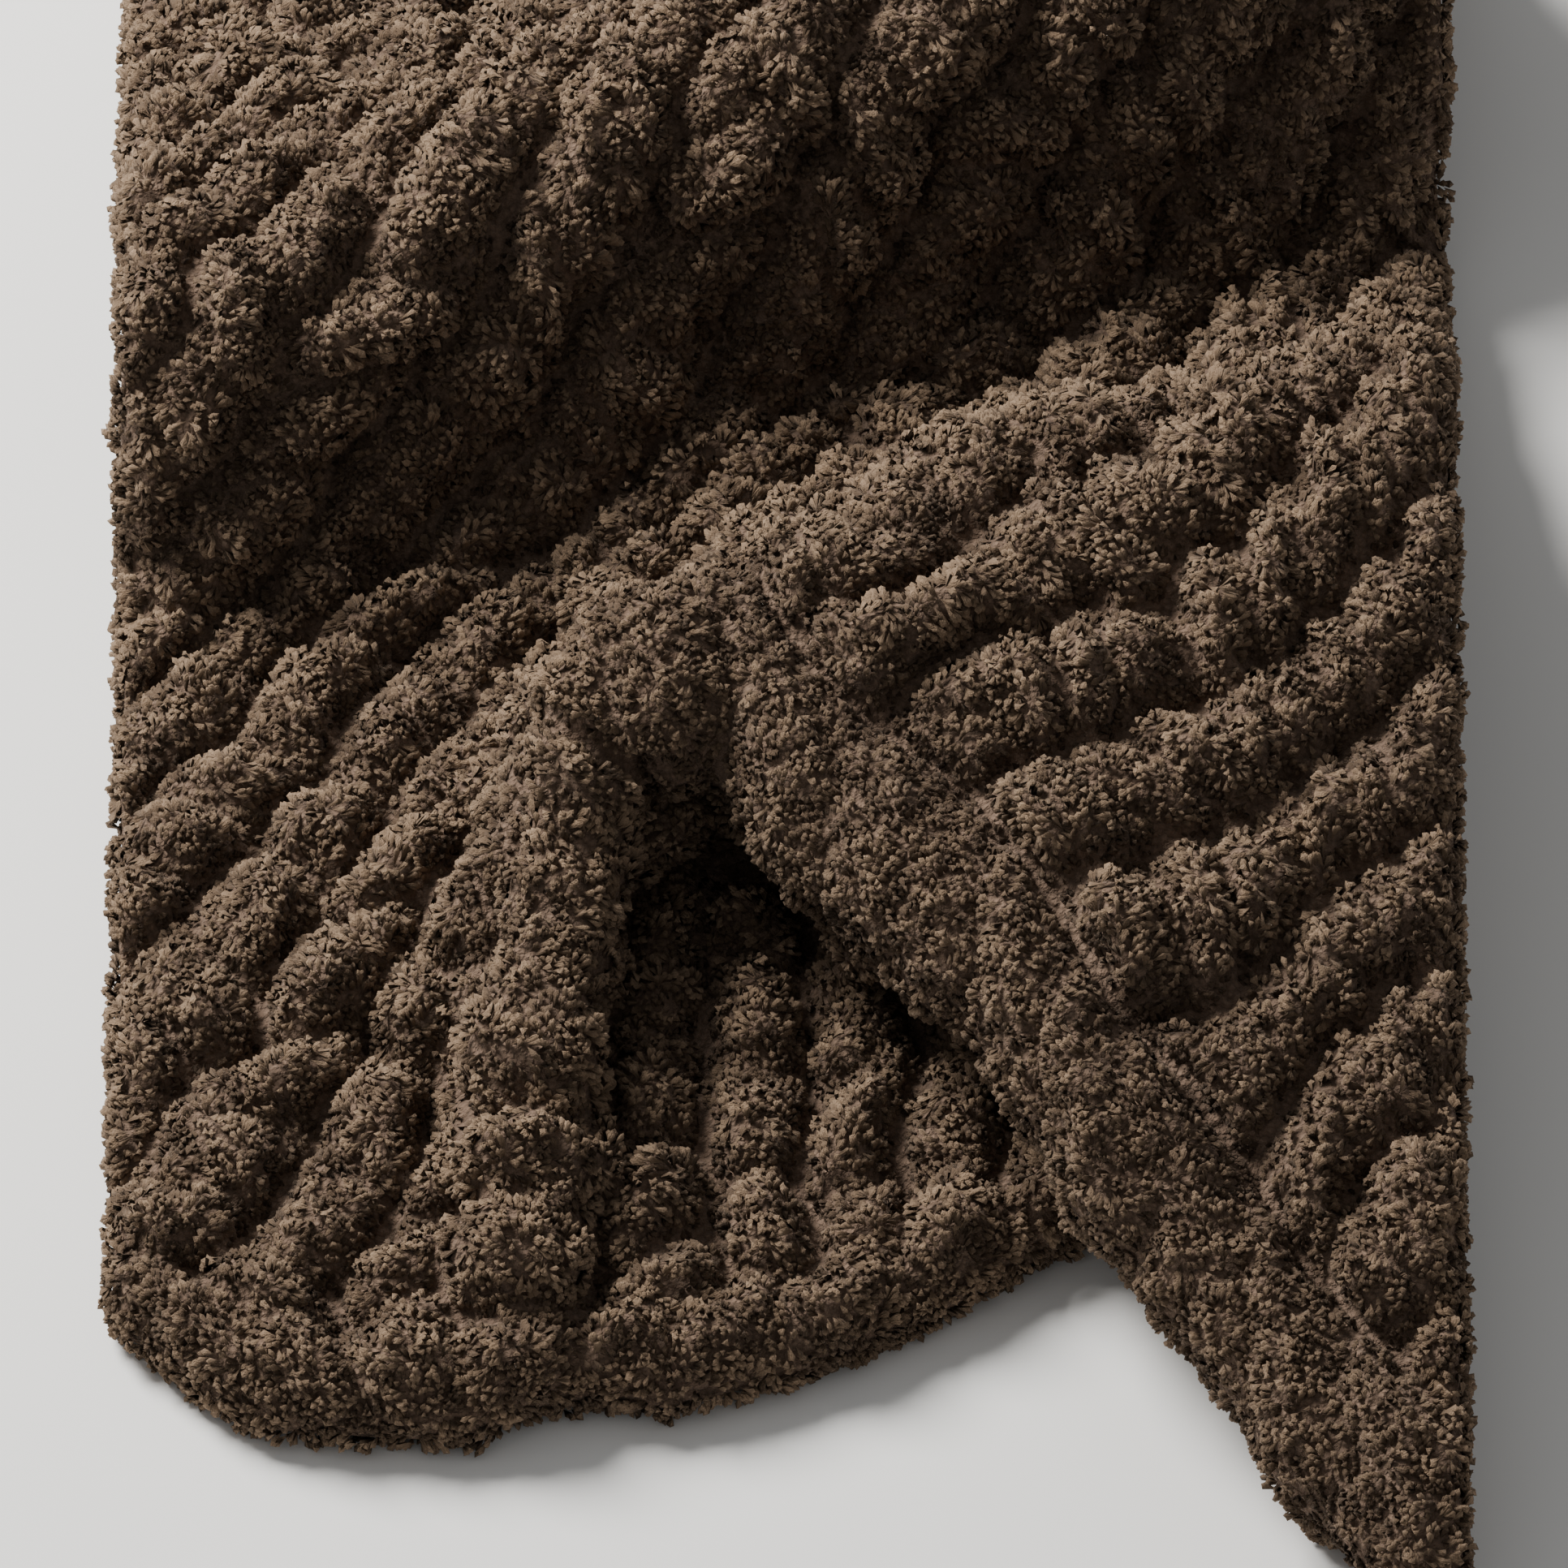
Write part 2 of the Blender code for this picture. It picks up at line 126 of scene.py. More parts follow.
BACK_FOLD = (
    (-163, -41, 12, -8, 12, 29, 11, 80, 72, 160, 50, 271),
    (-122, -56, 13, -8, 13, 46, 11, 98, 74, 172, 50, 270),
    (-76, -64, 14, -10, 14, 66, 11, 124, 78, 188, 50, 268),
    (-63, -56, 42, -34, 20, 71, 11, 131, 80, 192, 51, 268),
    (-50, -30, 64, -12, 24, 75, 11, 138, 82, 196, 52, 269),
    (-41, -17, 74, 4, 28, 79, 11, 143, 83, 199, 53, 269),
    (-29, -14, 76, 12, 29, 84, 12, 149, 85, 204, 54, 270),
    (-17, -8, 77, 20, 32, 90, 12, 154, 87, 209, 55, 272),
    (10, 0, 77, 36, 37, 103, 13, 165, 91, 219, 57, 276),
    (55, 33, 77, 66, 37, 128, 14, 190, 95, 240, 60, 290),
    (105, 42, 77, 78, 38, 142, 15, 208, 96, 255, 60, 302),
    (163, 66, 77, 104, 38, 164, 16, 226, 96, 268, 58, 313),
)

# The rib that passes each fold line, counted across the sheet; whole numbers are grooves
RIB_COLUMNS = ("x", "front", "root", "lip", "crest_b", "valley", "crest_a", "back")
RIB_NUMBERS = (
    (-163, 1.9, 0.9, 0.3, -0.7, -2.4, -4.3, -10.9),
    (-122, 3.1, 2.4, 1.7, 0.6, -1.5, -3.4, -9.9),
    (-76, 4.1, 3.9, 3.6, 2.6, -0.5, -2.3, -8.8),
    (-63, 4.5, 4.4, 4.3, 3.7, -0.3, -2.0, -8.5),
    (-50, 4.9, 4.9, 4.8, 4.1, -0.1, -1.7, -8.2),
    (-41, 5.2, 5.2, 5.1, 4.3, 0.1, -1.5, -8.0),
    (-29, 5.7, 5.7, 5.6, 4.4, 0.4, -1.2, -7.7),
    (-17, 6.1, 6.1, 6.0, 4.5, 0.7, -0.9, -7.4),
    (10, 7.2, 7.2, 6.9, 4.5, 1.4, -0.3, -6.8),
    (55, 8.9, 8.9, 8.3, 4.6, 2.5, 0.7, -5.9),
    (80, 9.9, 9.9, 9.4, 4.9, 3.1, 1.3, -5.3),
    (105, 10.8, 10.8, 10.3, 5.3, 3.7, 1.9, -4.8),
    (134, 11.8, 11.8, 11.6, 5.8, 4.4, 2.6, -4.1),
    (163, 12.8, 12.8, 12.7, 6.4, 5.2, 3.3, -3.4),
)
LINES = ("front", "lower", "root_under", "root", "root_over", "middle", "lip_under", "lip", "lip_over",
         "flap", "crest_b", "slope", "valley", "rise", "crest_a", "behind", "foot", "back")
RIB_LINES = ("front", "root", "lip", "crest_b", "valley", "crest_a", "back")

# Fold lines between two others: the share of the way there, in y and in z
LOWER_SHARE = (0.5, 0.4)
MIDDLE_SHARE = (0.5, 0.5)
RISE_SHARE = (0.55, 0.5)

# The foot, the last bend: how far before the far edge it is, and how far above it
FOOT_REACH = 26.0
FOOT_RISE = 3.0

# A grain of the pile: its sizes, and how deep its root and how high its belly and tip are, in lengths
GRAIN_SIDES = 3
GRAIN_POINTS = GRAIN_SIDES + 2
GRAIN_LENGTH = (3.4, 5.4)
GRAIN_RADIUS = (0.8, 1.25)
GRAIN_ROOT = 0.3
GRAIN_BELLY = 0.48
GRAIN_TIP = 0.7
BELLY_PLACE = 0.75
GROOVE_LENGTH = 0.45
OWN_SHADING = 1.0

# Which way grains grow: straight out, away from their clump's middle, and each a little its own way
UPRIGHT = 0.62
SPREAD = 0.35
STRAY = 0.2

# Clumps of grains: domes that lean over, with creases between them where the pile is painted darker as
# shade
GRAINS_A_CLUMP = 12
CLUMP_REACH = 3.5
CLUMP_RISE = (0.4, 2.3)
CLUMP_CREASE_SHADE = 0.65
CLUMP_LEAN = (0.4, 1.2)
CLUMP_PUFF = 0.9
CLUMP_TONE = 0.6

# Where grains are: fewest on the back, most on the rim, and none deep in a fold or against the floor
GRAINS_A_SQUARE_MM = 0.35
BACK_SHARE = 0.22
RIM_SHARE = 1.3
BURIED = 1.0
CLEAR_OF_FLOOR = 1.5
GRAINS_A_PIECE = 30000
SEED = 7

# How far out the yarn near an edge counts as, which keeps the painted groove shade off it: all of it up to
# the first distance, less to the second
EDGE_OUT = 0.75
EDGE_FADE = (5.4, 16.2)
RIM_OUT = 0.7

# Colours, as red, green and blue light
PILE_DARK = (0.225, 0.151, 0.094)
PILE_LIGHT = (0.300, 0.206, 0.132)
# The colour that the painted shade in grooves, creases and at grain roots darkens the pile towards
PILE_SHADE = (0.09, 0.062, 0.042)
PILE_SHEEN = (0.62, 0.47, 0.36)
GROUND_LIGHT = (0.20, 0.132, 0.092)
# Painted shade in the creases between the ground's clumps, where its bump sinks
GROUND_CREASE_SHADE = (0.11, 0.072, 0.050)
GROUND_SHEEN = (0.55, 0.42, 0.33)
FLOOR_COLOUR = (0.90, 0.89, 0.865)
WHITE = (1.0, 1.0, 1.0)

# Painted shade and fibre streaks in the pile's colour: each range of a value, with the range of the shade
# that it gives
# Painted shade at the grains' roots, deep in the pile
ROOT_SHADE = ((0.30, 0.85), (0.55, 1.0))
STREAK_SHADE = ((0.3, 0.7), (0.7, 1.15))
# Painted shade: the pile's colour darkens where the knit is low, in its grooves and the creases between
# clumps
GROOVE_SHADE = ((0.05, 0.72), (0.08, 1.0))

# The yarn's fine unevenness: how fine each pattern is, and its share, strength and height in metres
FIBRE_SCALE = 3.2
FIBRE_CHANGE = 100.0
PILE_FUZZ_SCALE = 2600.0
PILE_FUZZ_SHARE = 0.4
PILE_BUMP = (0.9, 0.0009)
GROUND_CLUMP_SCALE = 520.0
GROUND_CLUMP_SHARE = -1.6
GROUND_CLUMP_EDGES = (0.15, 0.85)
GROUND_FUZZ_SCALE = 1500.0
GROUND_BUMP = (1.0, 0.0012)

# The photo's picture plane, which passes through the tables' origin, and the camera before it
PHOTO_PIXELS = 1932
MM_A_PIXEL = 0.2
PHOTO_WIDTH = PHOTO_PIXELS * MM_A_PIXEL * MM
CAMERA_HEIGHT_ANGLE = math.radians(50.0)
CAMERA_DISTANCE = 8.0
CAMERA_SENSOR = 36.0
CAMERA_REACH = 20.0

# The floor, a broad soft lamp behind on the left, and dim light from all round
FLOOR_HALF = 4.0
LAMP_FROM = (-0.57, 0.45, 0.69)
LAMP_DISTANCE = 2.2
LAMP_SIZE = 1.1
LAMP_WATTS = 121.0
LAMP_COLOUR = (1.0, 0.985, 0.96)
SKY_COLOUR = (0.98, 0.99, 1.0)
SKY_STRENGTH = 0.31


def bend(start, start_slope, end, end_slope, t):
    """The smooth curve from start to end that has the given slopes there, as t runs from 0 to 1."""
    return (
        start * (1 + 2 * t) * (1 - t) ** 2
        + start_slope * t * (1 - t) ** 2
        + end * t * t * (3 - 2 * t)
        - end_slope * t * t * (1 - t)
    )


def smooth_tangents(knots, values):
    """Slopes of a curve through the values that never overshoots them."""
    steps = np.diff(knots)
    rises = np.diff(values) / steps
    slopes = np.zeros(len(values))
    slopes[0] = rises[0]
    slopes[-1] = rises[-1]
    for i in range(1, len(values) - 1):
        if rises[i - 1] * rises[i] > 0:
            before = steps[i - 1] + 2 * steps[i]
            after = 2 * steps[i - 1] + steps[i]
            slopes[i] = (before + after) / (before / rises[i] + after / rises[i - 1])
    return slopes


def smooth_between(knots, values, places):
    """A smooth curve through the values, read at the places."""
    knots = np.asarray(knots, float)
    values = np.asarray(values, float)
    slopes = smooth_tangents(knots, values)
    cell = np.clip(np.searchsorted(knots, places) - 1, 0, len(knots) - 2)
    width = knots[cell + 1] - knots[cell]
    t = (places - knots[cell]) / width
    return bend(values[cell], slopes[cell] * width, values[cell + 1], slopes[cell + 1] * width, t)


def read_table(columns, rows, across):
    """Every column of a table, carried smoothly from section to section."""
    table = np.array(rows, float)
    return {
        name: smooth_between(table[:, 0], table[:, k], across)
        for k, name in enumerate(columns)
        if k > 0
    }


def part_way(start, end, shares):
    """The fold line a share of the way from start to end, in y and in z."""
    return [(1 - share) * here + share * there for here, there, share in zip(start, end, shares)]


def fold_lines(across):
    """The sheet's middle surface at each of the fold lines: an array of (line, section, y or z)."""
    fore = read_table(FRONT_COLUMNS, FRONT_FOLD, across)
    rear = read_table(BACK_COLUMNS, BACK_FOLD, across)
    floor_z = np.full(len(across), BACK_HEIGHT)
    straight = 1 - 2 * fore["fold"]
    lift = fore["fold"] * HALF_TURN
    front = (fore["front_y"], floor_z)
    root_under = (fore["root_y"] - fore["root_turn"], fore["root_z"] - lift)
    root_over = (fore["root_y"] + straight * fore["root_turn"], fore["root_z"] + lift)
    lip_under = (fore["lip_y"] - straight * fore["lip_turn"], fore["lip_z"] - lift)
    lip_over = (fore["lip_y"] + fore["lip_turn"], fore["lip_z"] + lift)
    valley = (rear["valley_y"], rear["valley_z"])
    crest_a = (rear["crest_a_y"], rear["crest_a_z"])
    lines = (
        front,
        part_way(front, root_under, LOWER_SHARE),
        root_under,
        (fore["root_y"], fore["root_z"]),
        root_over,
        part_way(root_over, lip_under, MIDDLE_SHARE),
        lip_under,
        (fore["lip_y"], fore["lip_z"]),
        lip_over,
        (fore["flap_y"], fore["flap_z"]),
        (rear["crest_b_y"], rear["crest_b_z"]),
        (rear["slope_y"], rear["slope_z"]),
        valley,
        part_way(valley, crest_a, RISE_SHARE),
        crest_a,
        (rear["behind_y"], rear["behind_z"]),
        (rear["back_y"] - FOOT_REACH, floor_z + FOOT_RISE),
        (rear["back_y"], floor_z),
    )
    return np.array(lines).transpose(0, 2, 1)


def curve_through(points, counts):
    """A curve through the fold lines of every section at once, with a count of steps a stretch."""
    chord = np.linalg.norm(np.diff(points, axis=0), axis=2)
    step = np.sqrt(np.maximum(chord, 1e-6))[:, :, None]
    rise = np.diff(points, axis=0) / step
    slope = np.empty_like(points)
    slope[0] = rise[0]
    slope[-1] = rise[-1]
    slope[1:-1] = rise[:-1] + rise[1:] - (points[2:] - points[:-2]) / (step[:-1] + step[1:])
    rows = []
    for k, count in enumerate(counts):
        leaving, arriving = slope[k] * step[k], slope[k + 1] * step[k]
        for n in range(count):
            rows.append(bend(points[k], leaving, points[k + 1], arriving, n / count))
    rows.append(points[-1])
    return np.array(rows)


def middle_surface(across):
    """The sheet's middle surface, as (row along, column across, xyz), and the row of each fold line."""
    lines = fold_lines(across)
    stretch = np.linalg.norm(np.diff(lines, axis=0), axis=2)
    longest = 0.5 * (stretch.mean(axis=1) + stretch.max(axis=1))
    counts = [max(FEWEST_STEPS, math.ceil(length / CELL)) for length in longest]
    curves = curve_through(lines, counts)
    surface = np.empty((curves.shape[0], len(across), 3))
    surface[:, :, 0] = across
    surface[:, :, 1:] = curves
    rows = np.concatenate([[0], np.cumsum(counts)])
    return surface, dict(zip(LINES, rows))


def lengths_along(surface):
    """How far each point is from the hem, measured along the sheet."""
    steps = np.linalg.norm(np.diff(surface, axis=0), axis=2)
    return np.vstack([np.zeros(surface.shape[1]), np.cumsum(steps, axis=0)])


def average_length():
    """The sheet's length from hem to far edge, measured along it."""
    surface, _ = middle_surface(np.linspace(-WIDTH / 2, WIDTH / 2, MEASURED_SECTIONS))
    return float(lengths_along(surface)[-1].mean())


def rib_numbers(across, along, row_of):
    """The rib count at every point, carried smoothly from fold line to fold line."""
    named = read_table(RIB_COLUMNS, RIB_NUMBERS, across)
    rows = [row_of[name] for name in RIB_LINES]
    numbers = np.empty_like(along)
    for i in range(len(across)):
        known = [named[name][i] for name in RIB_LINES]
        numbers[:, i] = smooth_between(along[rows, i], known, along[:, i])
    return numbers


def distance_to_edge(across, along):
    """The distance from each point to the nearest edge, and to the hem or far edge alone."""
    sides = WIDTH / 2 - np.abs(across)
    ends = np.minimum(along, along[-1] - along)
    return np.minimum(ends, sides[None, :]), ends


def by_stitch(rib, stitch):
    """A steady but uneven number from 0 to 1 for each stitch."""
    by_rib, by_place, start, scale = SCRAMBLE
    mixed = np.sin(rib * by_rib + stitch * by_place + start) * scale
    return mixed - np.floor(mixed)


def wander(across, along, stray, salt):
    """Smooth uneven straying by about the given amount, over the given distance."""
    amount, distance = stray
    shortest, longer = WAVE_LENGTH
    total = np.zeros_like(along)
    for n in range(WAVES):
        turn = WAVE_TURN * n + PATTERN_TURN * salt
        run = across[None, :] * math.cos(turn) + along * math.sin(turn)
        pace = 2 * np.pi / (distance * (shortest + longer * n))
        total += np.sin(pace * run + WAVE_START * n + salt)
    return amount * (total / WAVE_HEIGHT)


def rounded(wave):
    """Plump lobes with narrow gaps between them, from a wave that runs from -1 to 1."""
    return np.abs(wave) ** LOBE_POWER


def relief(across, ribs, along, ends):
    """Height of the knit above the sheet's core: plump slanted stitches in ribs, with deep grooves."""
    ribs = ribs + wander(across, along, RIB_WANDER, 1)
    column = np.floor(ribs)
    inside = ribs - column - 0.5
    leg = 1 - 2 * np.mod(column, 2)
    stitch = along / STITCH_LENGTH + STITCH_SHIFT * column + STITCH_SLANT * leg * inside
    stitch += wander(across, along, STITCH_WANDER, 2)
    lobe = rounded(np.sin(np.pi * stitch))
    smallest, largest = STITCH_SIZE
    size = smallest + (largest - smallest) * by_stitch(column, np.floor(stitch))
    narrow, wider = HALF_RIB
    rib = np.sqrt(np.clip(1 - (inside / (narrow + wider * lobe * size)) ** 2, 0, 1))
    knit = rib * (RIB_RELIEF + STITCH_RELIEF * lobe * size + wander(across, along, LUMPS, 4))
    bead = across / BORDER_LOBE + wander(across, along, BORDER_WANDER, 3)
    border = np.clip(1 - ends / BORDER_WIDTH, 0, 1) ** BORDER_BLEND
    edging = strand(ends / BORDER_WIDTH, bead, BORDER_PLUMPNESS)
    return knit * (1 - border) + edging * border


def strand(place, bead, plumpness):
    """One fat strand that borders the ribs: place runs from 0 to 1 across it, bead counts its lobes."""
    lobe = plumpness * rounded(np.sin(np.pi * bead))
    return np.sqrt(np.sin(np.pi * np.clip(place, 0, 1))) * (RIB_RELIEF + STITCH_RELIEF * lobe)


def add_lip_strand(height, surface, across, along, row_of, doubled):
    """Lays the fat strand along the flap's rounded edge, where the ribs end in a groove."""
    row = row_of["lip"]
    steps = np.linalg.norm(np.diff(surface[row], axis=0), axis=1)
    run = np.concatenate([[0], np.cumsum(steps)])
    first, last = LIP_STRAND
    place = (along - along[row] - first) / (last - first)
    bead = run[None, :] / LIP_LOBE + LIP_SLANT * place + wander(across, along, LIP_WANDER, 5)
    within = doubled * np.clip(LIP_FADE * place, 0, 1) * np.clip(LIP_FADE * (1 - place), 0, 1)
    groove = 1 - doubled * np.exp(-(((along - along[row] - last) / LIP_GROOVE) ** 2))
    return (height * (1 - within) + strand(place, bead, LIP_PLUMPNESS) * within) * groove


def between_lines(row_of, rows, first, last):
    """1 between two fold lines, falling softly to 0 outside them."""
    inside = np.zeros(rows)
    inside[row_of[first]:row_of[last] + 1] = 1.0
    blur = np.ones(2 * SOFT_ROWS + 1) / (2 * SOFT_ROWS + 1)
    soft = np.convolve(np.pad(inside, SOFT_ROWS, mode="edge"), blur, mode="valid")
    return soft[:, None]


def standing_out(height, edge):
    """How far out each point of the knit is, from 0 in a groove to 1 on a stitch's top."""
    out = np.clip(height / (RIB_RELIEF + STITCH_RELIEF), 0, 1)
    near, far = EDGE_FADE
    return np.maximum(out, EDGE_OUT * np.clip((far - edge) / (far - near), 0, 1))


def unit(vectors):
    """The same directions, each one unit long."""
    return vectors / np.maximum(np.linalg.norm(vectors, axis=-1, keepdims=True), 1e-12)


def normals_of(grid):
    """The direction straight out of a grid of points, at each of them."""
    return unit(np.cross(np.gradient(grid, axis=1), np.gradient(grid, axis=0)))


def build_sheet():
    """Both faces of the sheet, the distance to its edge, and how far out each point of the knit is."""
    across = np.linspace(-WIDTH / 2, WIDTH / 2, round(WIDTH / CELL) + 1)
    surface, row_of = middle_surface(across)
    along = lengths_along(surface)
    ribs = rib_numbers(across, along, row_of)
    edge, ends = distance_to_edge(across, along)
    height = relief(across, ribs, along, ends)
    fold = read_table(FRONT_COLUMNS, FRONT_FOLD, across)["fold"]
    doubled = np.clip((fold - DOUBLED_FROM) / (1 - DOUBLED_FROM), 0, 1)
    height = add_lip_strand(height, surface, across, along, row_of, doubled)
    # How far out each point is sets its grains' length and how much painted groove shade their colour gets
    out = standing_out(height, edge)
    hidden = doubled * between_lines(row_of, len(along), "root_under", "lip_under")
    height += (HIDDEN_RELIEF - height) * hidden
    turned = doubled * between_lines(row_of, len(along), "lip_under", "lip_over")
    back = BACK_HEIGHT + (TURN_BACK_HEIGHT - BACK_HEIGHT) * turned

    inward = np.clip(edge / EDGE_RADIUS, 0, 1)
    round_off = EDGE_HEIGHT + (1 - EDGE_HEIGHT) * np.sqrt(1 - (1 - inward) ** 2)
    normals = normals_of(surface)
    upper = surface + normals * ((CORE_HEIGHT + height) * round_off)[:, :, None]
    under = surface - normals * (back * round_off)[:, :, None]
    under[:, :, 2] = np.maximum(under[:, :, 2], 0.0)
    return upper, under, edge, out


def centre_in_tables(upper, under):
    """Where the part's origin lies in the tables' own x and y."""
    points = np.vstack([upper.reshape(-1, 3), under.reshape(-1, 3)])
    middle = 0.5 * (points.min(axis=0) + points.max(axis=0))
    return np.array([middle[0], middle[1], 0.0])


def closed_mesh(name, upper, under):
    """Joins the two faces with a strip all round into one closed mesh."""
    rows, columns = upper.shape[:2]
    top = np.arange(rows * columns).reshape(rows, columns)
    bottom = top + rows * columns
    points = np.vstack([upper.reshape(-1, 3), under.reshape(-1, 3)]) * MM
    faces = []
    for j in range(rows - 1):
        for i in range(columns - 1):
            faces.append((top[j, i], top[j, i + 1], top[j + 1, i + 1], top[j + 1, i]))
            faces.append((bottom[j, i], bottom[j + 1, i], bottom[j + 1, i + 1], bottom[j, i + 1]))
    rim = [(0, i) for i in range(columns - 1)]
    rim += [(j, columns - 1) for j in range(rows - 1)]
    rim += [(rows - 1, i) for i in range(columns - 1, 0, -1)]
    rim += [(j, 0) for j in range(rows - 1, 0, -1)]
    for here, after in zip(rim, rim[1:] + rim[:1]):
        faces.append((top[after], top[here], bottom[here], bottom[after]))
    mesh = bpy.data.meshes.new(name)
    mesh.from_pydata(points.tolist(), [], [tuple(int(n) for n in face) for face in faces])
    mesh.validate()
    return mesh


def add_object(name, data):
    """Puts an object in the scene."""
    holder = bpy.data.objects.new(name, data)
    bpy.context.scene.collection.objects.link(holder)
    return holder


def add_piece(name, mesh, material):
    """Puts a mesh in the scene as a piece that stands for the CAD blanket."""
    piece = add_object(name, mesh)
    mesh.materials.append(material)
    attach(piece, "root")
    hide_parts("blanket")
    return piece


def fuse_folds(cloth):
    """Fuses the yarn where tight folds press together, as one clean closed surface."""
    remesh = cloth.modifiers.new("Remesh", "REMESH")
    remesh.mode = "VOXEL"
    remesh.voxel_size = VOXEL * MM
    remesh.adaptivity = 0.0
    graph = bpy.context.evaluated_depsgraph_get()
    mesh = bpy.data.meshes.new_from_object(cloth.evaluated_get(graph))
    cloth.modifiers.clear()
    cloth.data = mesh
    places = read_points(mesh)
    places[places[:, 2] < FLOOR_SNAP * MM, 2] = 0.0
    mesh.vertices.foreach_set("co", places.ravel())
    mesh.shade_smooth()
    mesh.update()


def read_points(mesh):
    """The places of a mesh's points, in metres."""
    places = np.empty(len(mesh.vertices) * 3)
    mesh.vertices.foreach_get("co", places)
    return places.reshape(-1, 3)


def scatter(face, out, outward, share, chance):
    """Places spread evenly over a grid of points, with the normal there and how far out they are."""
    across = face[:-1, 1:] - face[:-1, :-1]
    up = face[1:, :-1] - face[:-1, :-1]
    area = np.linalg.norm(np.cross(across, up), axis=2)
    want = area * GRAINS_A_SQUARE_MM * share
    count = np.floor(want + chance.random(want.shape)).astype(int)
    rows, columns = np.nonzero(count)
    repeat = count[rows, columns]
    rows, columns = np.repeat(rows, repeat), np.repeat(columns, repeat)
    u, v = chance.random((2, len(rows), 1))

    def read(values):
        near = values[rows, columns] * (1 - u) + values[rows, columns + 1] * u
        far = values[rows + 1, columns] * (1 - u) + values[rows + 1, columns + 1] * u
        return near * (1 - v) + far * v

    return read(face), unit(read(normals_of(face) * outward)), read(out[:, :, None])[:, 0]


def in_the_open(spots, cloth):
    """Which spots are not buried where the folds press together."""
    tree = BVHTree.FromPolygons(
        [vertex.co for vertex in cloth.data.vertices],
        [polygon.vertices[:] for polygon in cloth.data.polygons],
    )
    above = np.empty(len(spots))
    for n, spot in enumerate(spots):
        place = Vector(spot * MM)
        nearest, facing, _, _ = tree.find_nearest(place)
        above[n] = (place - nearest).dot(facing)
    return above > -BURIED * MM


def clump_of(spots, facing, chance):
    """For each spot its clump: the clump's middle, the way it leans, how far it rises, and its tone."""
    middles = chance.choice(len(spots), size=len(spots) // GRAINS_A_CLUMP, replace=False)
    tree = KDTree(len(middles))
    for n, spot in enumerate(spots[middles]):
        tree.insert(spot, n)
    tree.balance()
    clump = np.array([tree.find(spot)[1] for spot in spots])
    stray = chance.normal(size=(len(middles), 3))
    lean = unit(np.cross(facing[middles], stray)) * chance.uniform(*CLUMP_LEAN, (len(middles), 1))
    rise = chance.uniform(*CLUMP_RISE, (len(middles), 1))
    tone = chance.random(len(middles))
    return spots[middles][clump], lean[clump], rise[clump], tone[clump]


def rim_strips(upper, under):
    """The strips between the two faces along the hem, the far edge and both sides, and their way out."""
    sides = ((np.s_[0], 1.0), (np.s_[-1], -1.0), (np.s_[:, 0], -1.0), (np.s_[:, -1], 1.0))
    return [(np.stack([under[side], upper[side]]), outward) for side, outward in sides]


def grow(spots, facing, out, chance):
    """The grains at the spots: where each starts, how it grows, its tone, how far out it is with painted
    shade in its clump's creases, and rounded shading.
    """
    middles, lean, rise, tone = clump_of(spots, facing, chance)
    away = (spots - middles) / CLUMP_REACH
    reach = np.minimum(np.linalg.norm(away, axis=1, keepdims=True), 1.0)
    stray = chance.normal(size=spots.shape) * STRAY
    short = GROOVE_LENGTH + (1 - GROOVE_LENGTH) * out[:, None]
    return {
        "root": spots + facing * rise * (1 - reach * reach),
        "growth": unit(facing * UPRIGHT + lean + away * SPREAD + stray),
        "length": chance.uniform(*GRAIN_LENGTH, (len(spots), 1)) * short,
        "radius": chance.uniform(*GRAIN_RADIUS, (len(spots), 1)),
        "twist": chance.normal(size=spots.shape),
        "tone": np.clip(CLUMP_TONE * tone + (1 - CLUMP_TONE) * chance.random(len(spots)), 0, 1),
        # Painted shade: grains towards a clump's rim count as lower, so their colour darkens in the creases
        # between clumps
        "out": out * (1 - CLUMP_CREASE_SHADE * reach[:, 0] ** 2),
        "puff": unit(facing + away * CLUMP_PUFF),
    }


def grain_faces(count):
    """The triangles of a number of grains: on each side one from the root and one to the tip."""
    tip = GRAIN_POINTS - 1
    pattern = []
    for k in range(GRAIN_SIDES):
        after = (k + 1) % GRAIN_SIDES
        pattern.append((0, 1 + after, 1 + k))
        pattern.append((1 + k, 1 + after, tip))
    first = np.arange(count)[:, None, None] * GRAIN_POINTS
    return (np.array(pattern)[None] + first).reshape(-1, 3)


